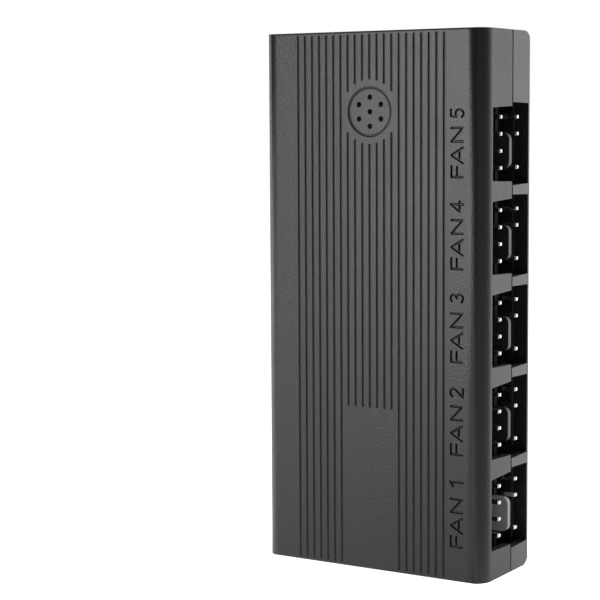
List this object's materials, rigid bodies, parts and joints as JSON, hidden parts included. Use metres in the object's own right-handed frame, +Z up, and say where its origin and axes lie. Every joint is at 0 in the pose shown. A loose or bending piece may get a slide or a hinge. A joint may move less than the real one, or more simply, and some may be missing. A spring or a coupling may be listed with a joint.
{
  "type": "lighting hub",
  "caption": "Upright black box hub for computer fans and lights, with a grooved front, a sound pickup grille and a column of open header ports in one side.",
  "frame": {"origin": "middle of the bounding box's bottom face, on the table under the standing hub", "axes": "+Z up along the height, -Y towards the grooved front, +X towards the side with the fan ports"},
  "size_m": [0.0386, 0.0162, 0.0828],
  "materials": {
    "case_plastic": "fine even spark texture, black",
    "board_laminate": "black solder mask, satin",
    "header_plastic": "smooth moulded, black",
    "pin_metal": "tin plated, bright",
    "blade_metal": "gold plated, bright",
    "can_metal": "drawn can, bright",
    "chip_plastic": "moulded, matt black",
    "ceramic": "fired, matt tan",
    "screw_steel": "zinc plated"
  },
  "bodies": {
    "root": {"front_shell": "case_plastic", "rear_shell": "case_plastic", "circuit_board": "board_laminate", "fan_header_1": "header_plastic", "fan_header_2": "header_plastic", "fan_header_3": "header_plastic", "fan_header_4": "header_plastic", "fan_header_5": "header_plastic", "fan_pins_1": "pin_metal", "fan_pins_2": "pin_metal", "fan_pins_3": "pin_metal", "fan_pins_4": "pin_metal", "fan_pins_5": "pin_metal", "led_header_1": "header_plastic", "led_header_2": "header_plastic", "led_header_3": "header_plastic", "led_header_4": "header_plastic", "led_header_5": "header_plastic", "led_pins_1": "pin_metal", "led_pins_2": "pin_metal", "led_pins_3": "pin_metal", "led_pins_4": "pin_metal", "led_pins_5": "pin_metal", "sync_fan_header": "header_plastic", "sync_fan_pins": "pin_metal", "sync_led_header": "header_plastic", "sync_led_pins": "pin_metal", "power_inlet": "header_plastic", "power_blades": "blade_metal", "microphone": "can_metal", "microphone_leads": "pin_metal", "microcontroller": "chip_plastic", "radio_receiver": "chip_plastic", "chip_antenna": "ceramic", "crystal": "can_metal", "bulk_capacitor": "can_metal", "voltage_regulator": "chip_plastic", "port_transistors": "chip_plastic", "chip_capacitors": "ceramic", "chip_resistors": "chip_plastic", "case_screws": "screw_steel"}
  },
  "joints": []
}
